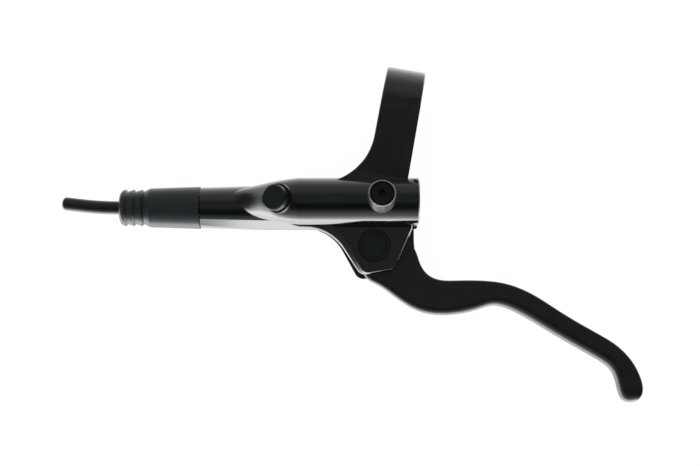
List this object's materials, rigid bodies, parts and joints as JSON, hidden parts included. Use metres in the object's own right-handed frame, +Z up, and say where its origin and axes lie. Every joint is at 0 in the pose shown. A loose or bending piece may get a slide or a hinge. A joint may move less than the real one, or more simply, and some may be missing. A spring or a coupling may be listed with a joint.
{
  "type": "bicycle brake lever",
  "caption": "Black hydraulic bicycle brake lever: handlebar clamp on an arm, reservoir tube over a master cylinder, S-curved blade on a pivot, ribbed rubber boot and a short hose end.",
  "frame": {"origin": "centre of the handlebar clamp's bore", "axes": "+X along the handlebar, from the hose end towards the tip of the blade; +Y towards the handlebar side, away from the blade; +Z up, towards the bleed screw"},
  "size_m": [0.2244, 0.1076, 0.0436],
  "materials": {
    "body_paint": "gloss black paint",
    "blade_paint": "satin black paint",
    "black_steel": "black oxide",
    "bright_steel": "bright",
    "black_plastic": "matte black",
    "bush_plastic": "matte natural",
    "piston_alloy": "clear anodised",
    "seal_rubber": "matte black",
    "boot_rubber": "matte dark grey",
    "hose_plastic": "satin black",
    "fitting_brass": "turned"
  },
  "bodies": {
    "body": {"lever_body": "body_paint", "clamp_bolt": "black_steel", "pivot_axle": "black_steel", "pivot_clip": "bright_steel", "pivot_cap": "black_plastic", "bleed_screw": "black_steel", "bleed_screw_seal": "seal_rubber", "port_plug": "black_plastic", "port_plug_seal": "seal_rubber", "reservoir_bladder": "seal_rubber", "reservoir_end_cap": "black_plastic", "stop_washer": "bright_steel", "cylinder_clip": "bright_steel", "rod_wiper": "seal_rubber", "return_spring": "bright_steel", "hose_nut": "black_steel", "olive": "fitting_brass", "hose_insert": "fitting_brass", "hose_stub": "hose_plastic", "hose_boot": "boot_rubber"},
    "lever": {"lever_blade": "blade_paint", "pivot_bush_upper": "bush_plastic", "pivot_bush_lower": "bush_plastic"},
    "piston": {"master_piston": "piston_alloy", "primary_cup": "seal_rubber", "secondary_cup": "seal_rubber", "push_rod": "bright_steel"},
    "reach_adjuster": {"reach_screw": "black_steel"}
  },
  "joints": [
    {"name": "lever_pull", "type": "hinge", "parent": "body", "child": "lever", "pos_m": [-0.00082, -0.05164, -0.006], "axis": [0, 0, 1], "range_deg": [0, 20], "stiffness_Nm_per_rad": 0.4, "springref_deg": -20.05},
    {"name": "piston_slide", "type": "slide", "parent": "body", "child": "piston", "axis": [-0.9854, -0.1702, 0], "range_m": [0, 0.0049], "deforming": ["return_spring"]},
    {"name": "reach_screw_turn", "type": "hinge", "parent": "lever", "child": "reach_adjuster", "pos_m": [0.00052, -0.03827, -0.006], "axis": [0.9854, 0.1702, 0], "range_deg": [-360, 360]}
  ],
  "couplings": [
    {"joint": "piston_slide", "follows": "lever_pull", "m_per_rad": 0.0137}
  ]
}
